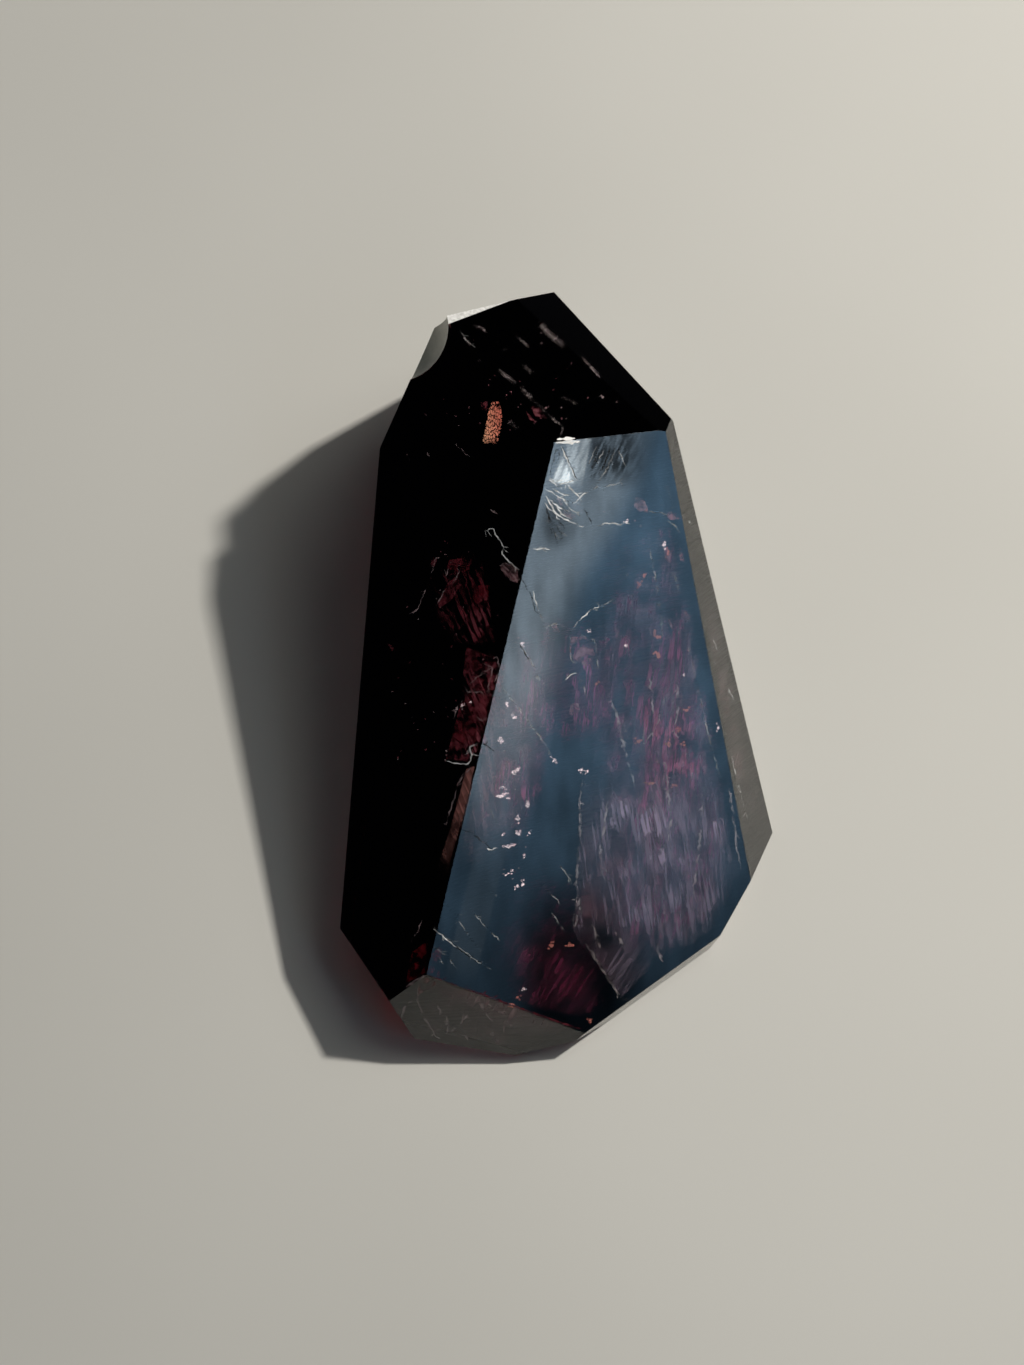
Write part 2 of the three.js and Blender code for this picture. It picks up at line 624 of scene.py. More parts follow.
# The dull red is painted light, the red seen through the foot's bevel.
PAINTED_BEVEL_RED = (0.10, 0.004, 0.012, 1)
OPEN_CRACKS = [
    [(459.5, 829.5), (470, 831.5), (481, 841), (492.5, 848.5)],
    [(436, 930), (456, 946.5), (476, 962.5)],
    [(520, 645), (529, 660)],
    [(480, 742), (490, 747), (495, 753)],
    [(548, 512), (553, 528), (558, 545)],
    [(552, 516), (558, 528), (563, 538)],
    [(546, 508), (550, 522), (552, 534)],
    [(558, 520), (565, 530)],
    [(563, 447), (570, 464), (577, 481)],
    [(556, 449), (553, 462), (550, 476)],
    [(559, 452), (557, 464)],
    [(600, 445), (594, 462), (590, 480)],
    [(610, 446), (605, 462), (598, 476)],
    [(584, 508), (590, 520), (594, 530)],
    [(516, 572), (524, 583), (531, 596), (535, 610)],
]
# The cracks are real; their black is painted shade inside the gaps.
lines_piece(
    "open_cracks", OPEN_CRACKS, width=1.1, depth=SKIN,
    material=crack_material("crack_painted_shade", colour=PAINTED_CRACK_SHADE, cover=0.85))
# A white strip along the top edge: a painted highlight where the bevel catches the light.
TOP_EDGE = [[(555.5, 442.8), (562, 442.4), (570, 442.0), (580, 441.6)],
            [(557, 439.4), (566, 438.8), (575, 438.4)]]
lines_piece(
    "worn_edge", TOP_EDGE, width=3.2, depth=SKIN, jitter=0.2,
    material=crack_material("worn", colour=HIGHLIGHT_WHITE, cover=1.0, gaps=(0.1, 0.3)))
# A dull red strip along the foot's edge: painted light, the red seen through its bevel.
EDGE_RED = [[(430, 976), (480, 994), (530, 1012), (580, 1029)]]
lines_piece(
    "edge_red", EDGE_RED, width=2.0, depth=SKIN, jitter=0.3,
    material=crack_material("edge_red", colour=PAINTED_BEVEL_RED, cover=0.9))

# %% [markdown]
# ## Healed cracks
# A crack that closed again inside the stone keeps a film of tiny bubbles. These are the same strips
# about a third of a millimetre in, so the garnet tints them pink. They outline the red panes on the left.

# %% Healed cracks inside
HEALED_DEPTH = 0.30
HEALED = [
    [(470, 683.5), (484, 672), (493, 668)],
    [(464.5, 685.5), (468.5, 692.5), (480, 691.5), (488, 696)],
    [(484, 664), (493, 669), (490, 680), (487, 694)],
    [(497, 656), (499, 668), (495, 682)],
    [(499.5, 566), (505, 562.5), (518, 569)],
    [(500, 568), (508, 575), (515, 583)],
    [(503, 565), (511, 573), (518, 581)],
    [(426, 589), (418, 608), (405, 618)],
    [(446, 577), (450, 562)],
    [(436, 606), (444, 592), (454, 579)],
    [(431, 573), (436, 558)],
    [(453, 584), (460, 571)],
    [(462, 700), (456, 712), (453, 720)],
    [(476, 716), (482, 721), (486, 718)],
    [(457, 786), (463, 776), (471, 768)],
    [(446, 825), (451, 808), (457, 790)],
    [(422, 920), (417, 933), (410, 941)],
    [(406, 987), (415, 981), (424, 976)],
    [(455, 444), (470, 457)],
    [(406, 452), (409, 460)],
    [(427, 452), (430, 458)],
    [(490, 509), (497, 514)],
    [(512, 420), (508, 424)],
]
lines_piece(
    "healed_cracks", HEALED, width=1.3, depth=HEALED_DEPTH,
    material=crack_material("healed_crack", colour=WHITE, cover=0.9))

# %% [markdown]
# ## Veils
# A veil is a healed crack full of tiny bubbles. On the broad right facet it looks like split wood:
# long splinters side by side, each with a sharp bright left edge, fading to the right and downward.
# It could be thousands of thin pieces, but a sheet with the splinters in its alpha is lighter and
# shows the same. A saw-tooth across the grain makes the sharp edges, a noise bends them, and each
# splinter gets its own brightness and its own beginnings along the grain.

# %% Grain of the veils
VEIL = (0.93, 0.92, 0.92, 1)
PURPLE = (0.86, 0.52, 0.95, 1)
LAVENDER = (0.84, 0.78, 1.0, 1)


def grain(top, foot):
    _, normal, _ = entry(top)
    along = (seat(foot, 0) - seat(top, 0)).normalized()
    return Matrix((normal.cross(along), along, normal)).to_euler()


FEATHER_GRAIN = grain((622, 790), (608, 900))
UPPER_GRAIN = grain((640, 560), (655, 700))
FOOT_GRAIN = grain((590, 945), (621, 996))
LEFT_GRAIN = grain((486, 560), (470, 600))
SIDE_GRAIN = grain((712, 640), (744, 780))
print("feather grain, degrees:", [round(math.degrees(angle)) for angle in FEATHER_GRAIN])

# %% Splinters across and along the grain
BEND_ACROSS, BEND_ALONG = 260.0, 60.0
FIBRE_ACROSS, FIBRE_ALONG = 4600.0, 280.0
BEND_DETAIL, FIBRE_DETAIL = 2.0, 4.0
START_SPREAD, START_FADE = 7, 0.06
HAZE_SHARE, SLOPE_SHARE, EDGE_SHARE = 0.30, 0.45, 0.75
EDGE_STARTS = 0.72
HAZE_LEAST = {"slope": 0.2, "begun": 0.4, "fibre": 0.5}
HAZE_FIBRES = (0.28, 0.70)
STROKE_LEAST = {"slope": 0.25, "begun": 0.3}
STROKE_FIBRES = (0.36, 0.64)
STROKE_STARTS, STROKE_FULL = 0.03, 0.22


def splinters_of(graph, turn, bands, length, bending):
    split = graph.node("ShaderNodeSeparateXYZ", None, {"Vector": graph.place((1, 1, 1), turn)})
    across, along = Wire(graph, split.outputs["X"]), Wire(graph, split.outputs["Y"])
    bent = graph.clouds(1.0, BEND_DETAIL, graph.place((BEND_ACROSS, BEND_ALONG, BEND_ACROSS), turn))
    phase = across * bands + bent * bending
    chance = graph.wire("ShaderNodeTexWhiteNoise", {"noise_dimensions": "1D"}, {"W": phase.whole()})
    run = (along * (1 / length) + START_SPREAD * chance + bent).fraction()
    begun = run.between(0.0, START_FADE) * (1 - run)
    fine = graph.place((FIBRE_ACROSS, FIBRE_ALONG, FIBRE_ACROSS), turn)
    fibre = graph.clouds(1.0, FIBRE_DETAIL, fine)
    return 1 - phase.fraction(), chance, begun, fibre


def hazy(graph, turn, bands, length, bending):
    tooth, chance, begun, fibre = splinters_of(graph, turn, bands, length, bending)
    slope = SLOPE_SHARE * tooth * chance.at_least(HAZE_LEAST["slope"])
    edge = EDGE_SHARE * tooth.between(EDGE_STARTS, 1.0) * chance
    ragged = (slope + edge) * begun.at_least(HAZE_LEAST["begun"])
    return (HAZE_SHARE + ragged) * fibre.between(*HAZE_FIBRES).at_least(HAZE_LEAST["fibre"])


def stroked(graph, turn, bands, length, bending):
    tooth, chance, begun, fibre = splinters_of(graph, turn, bands, length, bending)
    stroke = tooth * chance.at_least(STROKE_LEAST["slope"]) * begun.at_least(STROKE_LEAST["begun"])
    stroke = stroke * fibre.between(*STROKE_FIBRES)
    return stroke.between(STROKE_STARTS, STROKE_FULL)


print("splinter textures:", hazy.__name__, stroked.__name__)

# %% [markdown]
# ## How a veil is described
# The cover is how much a veil hides where it is thickest. The fade is how wide its soft edge is at
# the left, the right, the top and the foot, as shares of the sheet. The splinters are how many there
# are to a metre, how long they are in metres and how strongly they bend. The clumps are the noise
# levels where patches start and are full, and the share that is left between patches.

# %% Veil material
EDGE_WANDER = 0.5
PATCH_SCALE, EDGE_SCALE, PATCH_DETAIL = 320.0, 420.0, 6.0
VEIL_ROUGHNESS = 0.6


def veil_material(name, cover, fade, splinters, clumps=(0.36, 0.60, 0.35), turn=FEATHER_GRAIN,
                  colour=VEIL, texture=hazy):
    material, graph = new_material(name)
    low, high, left_over = clumps
    patches = graph.clouds(PATCH_SCALE, PATCH_DETAIL).between(low, high).at_least(left_over)
    side, rise = graph.map_sides()
    wander_by = EDGE_WANDER * (graph.clouds(EDGE_SCALE, PATCH_DETAIL) - HALF)
    left, right, top, foot = fade
    edge = (side + wander_by * left).between(0.0, left)
    edge = edge * (1 - side + wander_by * right).between(0.0, right)
    edge = edge * (1 - rise + wander_by * top).between(0.0, top)
    edge = edge * (rise + wander_by * foot).between(0.0, foot)
    density = cover * edge * patches * texture(graph, turn, *splinters)
    shader = graph.node("ShaderNodeBsdfPrincipled", None,
                        {"Base Color": colour, "Roughness": VEIL_ROUGHNESS,
                         "Alpha": density.at_most(1.0)})
    graph.finish(shader)
    return material


def sheets_piece(name, sheets, depth, wave, material, across=10, along=24):
    shape = new_shape()
    for rungs in sheets:
        add_sheet(shape, rungs, depth, wave, across, along)
    add_piece(name, shape, material)


print("share by which a soft edge wanders:", EDGE_WANDER)

# %% [markdown]
# ## White veils
# The veils near the skin stay white, because the garnet has hardly begun to colour them. Two lie on
# the lower half of the broad facet like feathers, thinner silk lies above them, and two more lie
# along the ridge and at the foot.

# %% White veils near the skin
LEANING_GRAIN = grain((640, 790), (618, 900))
FEATHER_HAZE = [((580, 768), (719, 758)), ((579, 830), (731, 822)), ((577, 880), (742, 872)),
                ((573, 930), (716, 928)), ((588, 962), (680, 958))]
FEATHER_TOP = [((594, 735), (714, 735)), ((588, 775), (721, 775)), ((582, 820), (730, 820)),
               ((580, 900), (728, 898)), ((590, 955), (688, 952))]
sheets_piece(
    "feather_haze", [FEATHER_HAZE], depth=0.22, wave=0.1, across=18, along=24,
    material=veil_material(
        "feather_haze", cover=0.34, fade=(0.012, 0.12, 0.15, 0.3), splinters=(420.0, 0.013, 3.0),
        clumps=(0.30, 0.66, 0.4), turn=FEATHER_GRAIN, colour=LAVENDER))
sheets_piece(
    "feather_deep", [FEATHER_TOP], depth=0.5, wave=0.2, across=18, along=24,
    material=veil_material(
        "feather_deep", cover=0.38, fade=(0.25, 0.10, 0.45, 0.35), splinters=(800.0, 0.008, 4.0),
        clumps=(0.34, 0.64, 0.3), turn=LEANING_GRAIN, colour=LAVENDER))
SILK = [((600, 500), (672, 500)), ((585, 560), (684, 560)), ((575, 640), (698, 640)),
        ((570, 720), (714, 720)), ((580, 785), (722, 780))]
sheets_piece(
    "silk", [SILK], depth=0.3, wave=0.15, across=12, along=24,
    material=veil_material(
        "silk", cover=0.16, fade=(0.5, 0.10, 0.5, 0.2), splinters=(520.0, 0.012, 4.0),
        clumps=(0.38, 0.66, 0.15), turn=UPPER_GRAIN, colour=LAVENDER))
RIDGE_HAZE = [((512, 625), (556, 630)), ((494, 705), (556, 710)), ((479, 770), (548, 775)),
              ((466, 825), (530, 838)), ((456, 868), (505, 878))]
sheets_piece(
    "ridge_haze", [RIDGE_HAZE], depth=0.5, wave=0.2, across=10, along=24,
    material=veil_material(
        "ridge_haze", cover=0.55, fade=(0.04, 0.8, 0.35, 0.35), splinters=(520.0, 0.008, 4.0),
        clumps=(0.32, 0.64, 0.35)))
LOW_HAZE = [((586, 944), (640, 928)), ((602, 967), (664, 950)), ((613, 985), (650, 972)),
            ((622, 998), (630, 990))]
sheets_piece(
    "low_haze", [LOW_HAZE], depth=0.25, wave=0.08, across=10, along=16,
    material=veil_material(
        "low_haze", cover=0.45, fade=(0.02, 0.9, 0.2, 0.1), splinters=(520.0, 0.008, 3.0),
        clumps=(0.34, 0.60, 0.3), turn=FOOT_GRAIN, colour=LAVENDER))

# %% [markdown]
# ## Strokes over the veils
# A soft veil alone looks like fog. On the real stone single splinters stand out of it, so a second
# sheet with crisp strokes lies just above each veil. Most strokes are greyer and hide more.

# %% Strokes over the white veils
STEEP_GRAIN = grain((650, 790), (620, 900))
GREY_LAVENDER = (0.42, 0.38, 0.50, 1)
GREY_PINK = (0.50, 0.38, 0.42, 1)
STROKES = (700.0, 0.010, 4.0)
sheets_piece(
    "feather_strokes", [FEATHER_HAZE], depth=0.16, wave=0.06, across=18, along=24,
    material=veil_material(
        "feather_stroke", cover=0.85, fade=(0.012, 0.12, 0.20, 0.3), splinters=STROKES,
        clumps=(0.30, 0.60, 0.4), turn=FEATHER_GRAIN, colour=GREY_LAVENDER, texture=stroked))
sheets_piece(
    "leaning_strokes", [FEATHER_TOP], depth=0.3, wave=0.1, across=18, along=24,
    material=veil_material(
        "leaning_stroke", cover=0.85, fade=(0.25, 0.10, 0.4, 0.35), splinters=(480.0, 0.014, 3.0),
        clumps=(0.36, 0.60, 0.2), turn=STEEP_GRAIN, colour=GREY_LAVENDER, texture=stroked))
sheets_piece(
    "bright_strokes", [FEATHER_TOP], depth=0.14, wave=0.05, across=18, along=24,
    material=veil_material(
        "bright_stroke", cover=0.8, fade=(0.10, 0.12, 0.45, 0.35), splinters=STROKES,
        clumps=(0.50, 0.62, 0.0), turn=LEANING_GRAIN, colour=LAVENDER, texture=stroked))
sheets_piece(
    "silk_strokes", [SILK], depth=0.2, wave=0.1, across=12, along=24,
    material=veil_material(
        "silk_stroke", cover=0.4, fade=(0.5, 0.10, 0.5, 0.2), splinters=(560.0, 0.014, 3.0),
        clumps=(0.42, 0.60, 0.0), turn=UPPER_GRAIN, colour=GREY_LAVENDER, texture=stroked))
sheets_piece(
    "ridge_strokes", [RIDGE_HAZE], depth=0.4, wave=0.15, across=10, along=24,
    material=veil_material(
        "ridge_stroke", cover=0.8, fade=(0.04, 0.8, 0.35, 0.35), splinters=STROKES,
        clumps=(0.36, 0.62, 0.1), turn=FEATHER_GRAIN, colour=GREY_PINK, texture=stroked))
sheets_piece(
    "low_strokes", [LOW_HAZE], depth=0.18, wave=0.06, across=10, along=16,
    material=veil_material(
        "low_stroke", cover=0.85, fade=(0.02, 0.9, 0.2, 0.1), splinters=STROKES,
        clumps=(0.34, 0.60, 0.2), turn=FOOT_GRAIN, colour=GREY_LAVENDER, texture=stroked))

# %% [markdown]
# ## Loose splinters
# A few splinters lie apart from the veils, nearer or deeper. They are small sheets with a point at
# the top, scattered by a seeded random draw. The ones further in are red.

# %% Splinter sheets
SPLINTER_SHAPE = ((0.0, 0.06), (0.25, 0.55), (1.0, 1.0))
SPLINTER_FADE = (0.03, 0.95, 0.06, 0.75)
SPLINTER_GRAIN = (1200.0, 0.008, 4.0)
SPLINTER_ACROSS, SPLINTER_ALONG = 3, 8


def splinter(tip, length, width, lean):
    rungs = []
    for part, share in SPLINTER_SHAPE:
        left = Vector((tip.x + lean * length * part, tip.y + length * part))
        rungs.append((left, left + Vector((width * share, 0))))
    return rungs


def splinters_piece(name, region, count, depths, lengths, widths, leans, material):
    shape = new_shape()
    for _ in range(count):
        tip = spot_on(region, random.random(), random.random())
        rungs = splinter(tip, random.uniform(*lengths), random.uniform(*widths),
                         random.uniform(*leans))
        add_sheet(shape, rungs, random.uniform(*depths), across=SPLINTER_ACROSS, along=SPLINTER_ALONG)
    add_piece(name, shape, material)


FEATHER_TIPS = [((588, 778), (700, 770)), ((584, 820), (712, 812)), ((582, 865), (712, 858))]
splinters_piece(
    "feathers", FEATHER_TIPS, count=40, depths=(0.12, 0.4), lengths=(24, 66), widths=(6, 16),
    leans=(-0.18, -0.04),
    material=veil_material(
        "feather", cover=0.5, fade=SPLINTER_FADE, splinters=SPLINTER_GRAIN, clumps=(0.36, 0.6, 0.3),
        turn=FEATHER_GRAIN, colour=LAVENDER))
RED_TIPS = [((640, 520), (676, 515)), ((628, 600), (688, 600)), ((625, 680), (694, 680)),
            ((630, 735), (700, 730))]
splinters_piece(
    "red_splinters", RED_TIPS, count=40, depths=(0.7, 1.8), lengths=(20, 56), widths=(5, 14),
    leans=(-0.02, 0.18),
    material=veil_material(
        "red_splinter", cover=0.8, fade=SPLINTER_FADE, splinters=SPLINTER_GRAIN,
        clumps=(0.36, 0.6, 0.3), turn=UPPER_GRAIN, colour=PURPLE))
PALE_TIPS = [((600, 620), (650, 620)), ((610, 690), (690, 690)), ((616, 740), (705, 740))]
splinters_piece(
    "pale_splinters", PALE_TIPS, count=34, depths=(0.1, 0.3), lengths=(18, 50), widths=(2.5, 7),
    leans=(-0.1, 0.15),
    material=veil_material(
        "pale_splinter", cover=0.55, fade=SPLINTER_FADE, splinters=SPLINTER_GRAIN,
        clumps=(0.36, 0.6, 0.2), turn=UPPER_GRAIN))

# %% [markdown]
# ## Wisps
# A few single fibres stand out from the veils: the bright left limit of the feathers, the curved
# strands in the middle and the bright limit of the band at the foot. Each is a line like the
# cracks, a little under the skin and broken up more.

# %% Wisp lines
WISPS = [
    [(582, 772), (580, 800), (580.5, 830), (577, 868), (577, 897), (573, 927)],
    [(574, 927), (579, 912), (580, 898)],
    [(585, 943), (601, 967), (612.5, 985), (622, 998)],
    [(592, 924), (596, 936), (600, 948)],
    [(609, 693), (618, 721), (622, 740), (629, 764), (635, 787)],
    [(618, 716), (621, 736), (626, 752)],
    [(650, 678), (652, 701), (655, 722)],
    [(667, 688), (659, 721), (646, 742)],
    [(677, 684), (678, 712), (673, 735)],
    [(608, 800), (604, 826), (600, 850), (604, 880)],
    [(665, 762), (668, 790), (671, 820), (667, 842)],
    [(704, 787), (701, 823), (697, 868), (692, 902)],
    [(728, 782), (733, 810), (737, 850), (741, 868)],
    [(615, 932), (622, 942), (629, 953)],
    [(656, 936), (660, 960)],
]
lines_piece(
    "wisps", WISPS, width=2.2, depth=0.12, jitter=1.0,
    material=crack_material("wisp", colour=VEIL, cover=0.7, gaps=(0.36, 0.64)))

# %% [markdown]
# ## Red glow
# Deeper in, the same veils are red and purple, because the garnet takes the other colours on the
# way in and out. These sheets lie about a millimetre or more under the skin: soft glows, with crisp
# strokes among them.

# %% Deep sheets on the right
PINK_PURPLE = (0.95, 0.48, 0.90, 1)
SALMON = (0.95, 0.66, 0.62, 1)
PINK = (0.95, 0.45, 0.72, 1)
PLUM = (0.42, 0.16, 0.36, 1)
RIGHT_GLOW = [((612, 530), (678, 520)), ((590, 600), (690, 600)), ((580, 700), (708, 700)),
              ((590, 770), (722, 765)), ((590, 850), (732, 850)), ((584, 930), (712, 926)),
              ((606, 965), (664, 962))]
MIDDLE_GLOW = [((536, 612), (622, 606)), ((530, 660), (626, 660)), ((530, 710), (616, 710)),
               ((540, 745), (600, 745))]
RIDGE_GLOW = [((520, 615), (560, 615)), ((500, 700), (560, 700)), ((475, 785), (545, 790)),
              ((460, 840), (520, 850))]
sheets_piece(
    "red_glow", [RIGHT_GLOW, MIDDLE_GLOW, RIDGE_GLOW], depth=1.5, wave=0.6, across=16, along=30,
    material=veil_material(
        "red_glow", cover=0.80, fade=(0.45, 0.20, 0.45, 0.3), splinters=(600.0, 0.010, 5.0),
        clumps=(0.32, 0.66, 0.2), turn=UPPER_GRAIN, colour=PURPLE))
sheets_piece(
    "red_strokes", [RIGHT_GLOW, MIDDLE_GLOW, RIDGE_GLOW], depth=1.2, wave=0.5, across=16, along=30,
    material=veil_material(
        "red_stroke", cover=1.0, fade=(0.45, 0.20, 0.45, 0.3), splinters=(800.0, 0.008, 5.0),
        clumps=(0.36, 0.62, 0.1), turn=UPPER_GRAIN, colour=PINK_PURPLE, texture=stroked))
UNDER_FEATHER = [((584, 825), (650, 830)), ((582, 870), (655, 872)), ((580, 905), (650, 905)),
                 ((584, 936), (630, 936))]
sheets_piece(
    "under_feather", [UNDER_FEATHER], depth=0.9, wave=0.3, across=10, along=14,
    material=veil_material(
        "under_feather", cover=0.75, fade=(0.05, 0.6, 0.35, 0.3), splinters=(700.0, 0.006, 4.0),
        clumps=(0.32, 0.62, 0.2), turn=FEATHER_GRAIN, colour=SALMON))
SPARK_GLOW = [((636, 660), (702, 660)), ((634, 735), (714, 735)), ((640, 790), (712, 786))]
sheets_piece(
    "spark_glow", [SPARK_GLOW], depth=0.9, wave=0.4, across=10, along=12,
    material=veil_material(
        "spark_glow", cover=1.0, fade=(0.4, 0.3, 0.45, 0.08), splinters=(900.0, 0.004, 6.0),
        clumps=(0.36, 0.60, 0.10), turn=UPPER_GRAIN, colour=PINK, texture=stroked))
FOOT_GLOW = [((508, 860), (592, 862)), ((495, 920), (602, 922)), ((486, 975), (618, 970)),
             ((505, 1000), (612, 1000)), ((552, 1016), (596, 1018))]
sheets_piece(
    "foot_glow", [FOOT_GLOW], depth=1.8, wave=0.6, across=14, along=20,
    material=veil_material(
        "foot_glow", cover=0.55, fade=(0.45, 0.35, 0.45, 0.12), splinters=(700.0, 0.006, 5.0),
        clumps=(0.34, 0.66, 0.25), turn=FOOT_GRAIN, colour=PURPLE))
sheets_piece(
    "foot_strokes", [FOOT_GLOW], depth=1.5, wave=0.5, across=14, along=20,
    material=veil_material(
        "foot_stroke", cover=0.8, fade=(0.45, 0.35, 0.45, 0.12), splinters=(1100.0, 0.005, 6.0),
        clumps=(0.36, 0.66, 0.1), turn=FOOT_GRAIN, colour=PLUM, texture=stroked))

# %% [markdown]
# ## Left facet
# The left facet mirrors a dark room, so only what lies inside it shows: a cloud of red strokes, a
# pale sliver along its edge and one small pink chip where a crack meets the ridge.

# %% Deep sheets on the left
ORANGE_PINK = (0.90, 0.60, 0.50, 1)
CHIP_GRAIN = grain((500, 566), (516, 583))
LEFT_UPPER = [((440, 552), (484, 548)), ((430, 580), (484, 578)), ((424, 600), (490, 600)),
              ((436, 620), (492, 622)), ((455, 645), (496, 645))]
LEFT_LOWER = [((466, 640), (500, 650)), ((461, 675), (499.5, 672)), ((458, 700), (493, 700)),
              ((448, 735), (483, 733)), ((443, 760), (474, 763))]
sheets_piece(
    "left_glow", [LEFT_LOWER, LEFT_UPPER], depth=2.0, wave=0.8, across=10, along=24,
    material=veil_material(
        "left_glow", cover=1.0, fade=(0.5, 0.03, 0.35, 0.06), splinters=(1100.0, 0.004, 6.0),
        clumps=(0.38, 0.58, 0.15), turn=LEFT_GRAIN, colour=VEIL, texture=stroked))
LEFT_SLIVER = [((466, 768), (475, 764)), ((459, 795), (469, 795)), ((451, 825), (461, 825)),
               ((441, 855), (452, 855)), ((435, 880), (445, 882))]
sheets_piece(
    "left_sliver", [LEFT_SLIVER], depth=0.45, wave=0.1, across=4, along=24,
    material=veil_material(
        "left_sliver", cover=2.0, fade=(0.08, 0.02, 0.03, 0.6), splinters=(1500.0, 0.002, 4.0),
        clumps=(0.34, 0.56, 0.35), turn=LEFT_GRAIN, colour=ORANGE_PINK))
PINK_CHIP = [((499.5, 565.5), (505, 562)), ((502, 570), (518, 569)), ((505, 575.5), (518, 579)),
             ((513, 580.5), (517.5, 583))]
sheets_piece(
    "pink_chip", [PINK_CHIP], depth=0.6, wave=0.1, across=5, along=8,
    material=veil_material(
        "pink_chip", cover=1.8, fade=(0.05, 0.03, 0.05, 0.05), splinters=(1800.0, 0.002, 3.0),
        clumps=(0.34, 0.54, 0.3), turn=CHIP_GRAIN))

# %% [markdown]
# ## Red panes
# Broken faces inside the stone show as small flat red panes with sharp outlines. Each is a disc of
# as many corners as its outline has, and its corners are moved to where they show. Each pane has
# its depth in front of its outline.

# %% Panes
PINK_CHIP_OUTLINE = [(499.5, 565.5), (505, 562), (518, 569.5), (517.5, 583), (505, 575.5)]
PANES = [
    (2.2, [(466.5, 647), (487, 655), (498, 664), (494, 690), (480, 691), (468.5, 685.5), (463, 674)]),
    (2.5, [(468, 694), (493, 694), (487, 712), (479, 740), (468, 748), (452, 736), (459, 709)]),
    (2.0, [(452, 737), (468, 749), (471, 762), (446, 759)]),
    (2.2, [(434, 594.5), (455, 577), (461, 585), (451, 600.5), (439.5, 608)]),
    (2.5, [(449, 560), (474, 556), (468.5, 569.5), (445, 577)]),
    (3.0, [(470, 585), (489.5, 585), (486, 612), (474, 600.5)]),
    (1.8, [(434, 556), (437, 560), (431, 575), (427.5, 573)]),
    (1.8, [(387, 643), (392, 645), (399, 655), (394, 653)]),
    (0.8, PINK_CHIP_OUTLINE),
    (1.0, PINK_CHIP_OUTLINE),
    (4.6, [(411.5, 953), (428, 940), (425, 973), (406, 983)]),
    (1.8, [(531, 406), (540, 408), (547, 419), (535, 416)]),
    (1.8, [(480, 403), (488, 401), (487, 411), (482, 410)]),
    (1.0, [(547, 627), (556, 624), (560, 633), (554, 641), (547, 638)]),
    (0.9, [(571, 704), (578, 703), (580, 710), (574, 717), (569, 713)]),
    (0.8, [(636, 497), (644, 499), (648, 509), (640, 512), (634, 506)]),
    (1.1, [(662, 511), (678, 514), (682, 519), (670, 520)]),
    (1.1, [(664, 549), (672, 550), (670, 563), (666, 560)]),
    (1.3, [(679, 548), (685, 552), (684, 562), (680, 560)]),
    (1.1, [(667, 620), (677, 617), (680, 624), (672, 629)]),
    (1.1, [(684, 611), (692, 613), (693, 624), (685, 622)]),
    (0.9, [(557, 498), (576, 503), (583, 512), (578, 522), (566, 517)]),
    (1.0, [(570, 637), (583, 636), (592, 641), (597, 666), (585, 666), (573, 660)]),
]


def add_disc(shape, corners, spin=0.0):
    made = bmesh.ops.create_circle(shape, cap_ends=True, radius=1.0, segments=corners,
                                   matrix=Matrix.Rotation(spin, 4, "Z"))
    return made["verts"]


panes = new_shape()
for depth, outline in PANES:
    for vert, spot in zip(add_disc(panes, len(outline)), outline):
        vert.co = seat(spot, depth)
add_piece("red_panes", panes, crack_material("red_pane", colour=VEIL, cover=0.75, gaps=(0.40, 0.66)))

# %% [markdown]
# ## The crown, the end and the side
# The crown has soft smudges and one fracture with a knot in it. The end facet is mottled, pinkish
# along its upper edge, with pale lines running down it, and the narrow side facet has pale and
# pinkish streaks along its length. All are sheets and strips like the ones before.


# %% Crown smudges
def strip(path, width):
    points = [Vector(spot) for spot in path]
    rungs = []
    for place, point in enumerate(points):
        half = sideways(points, place) * width / 2
        rungs.append((point + half, point - half))
    return rungs


CROWN_GRAIN = grain((500, 370), (560, 425))
CROWN_SMUDGES = [
    strip([(497, 368), (507, 377), (517, 385)], 6),
    strip([(519, 385), (526, 393), (534, 399)], 7),
    strip([(522, 365), (528, 369), (533, 374)], 7),
    strip([(530, 398), (542, 408), (553, 419), (564, 427)], 4),
    strip([(563, 426), (562, 432), (560, 437)], 3),
    strip([(560, 397), (569, 400), (579, 405)], 5),
    strip([(513, 332), (521, 340), (530, 348)], 4),
    strip([(472, 325), (482, 328), (487, 333)], 4),
    strip([(460, 331), (466, 340), (473, 347)], 3),
    strip([(538, 322), (552, 336), (566, 348)], 9),
    strip([(600, 395), (604, 398)], 4),
    strip([(508, 420), (519, 430)], 6),
    strip([(502, 348), (507, 351)], 6),
    strip([(580, 355), (592, 368), (602, 380)], 5),
]
sheets_piece(
    "crown_smudges", CROWN_SMUDGES, depth=0.2, wave=0.1, across=4, along=12,
    material=veil_material(
        "smudge", cover=1.3, fade=(0.5, 0.5, 0.3, 0.3), splinters=(1400.0, 0.004, 6.0),
        clumps=(0.36, 0.62, 0.1), turn=CROWN_GRAIN))

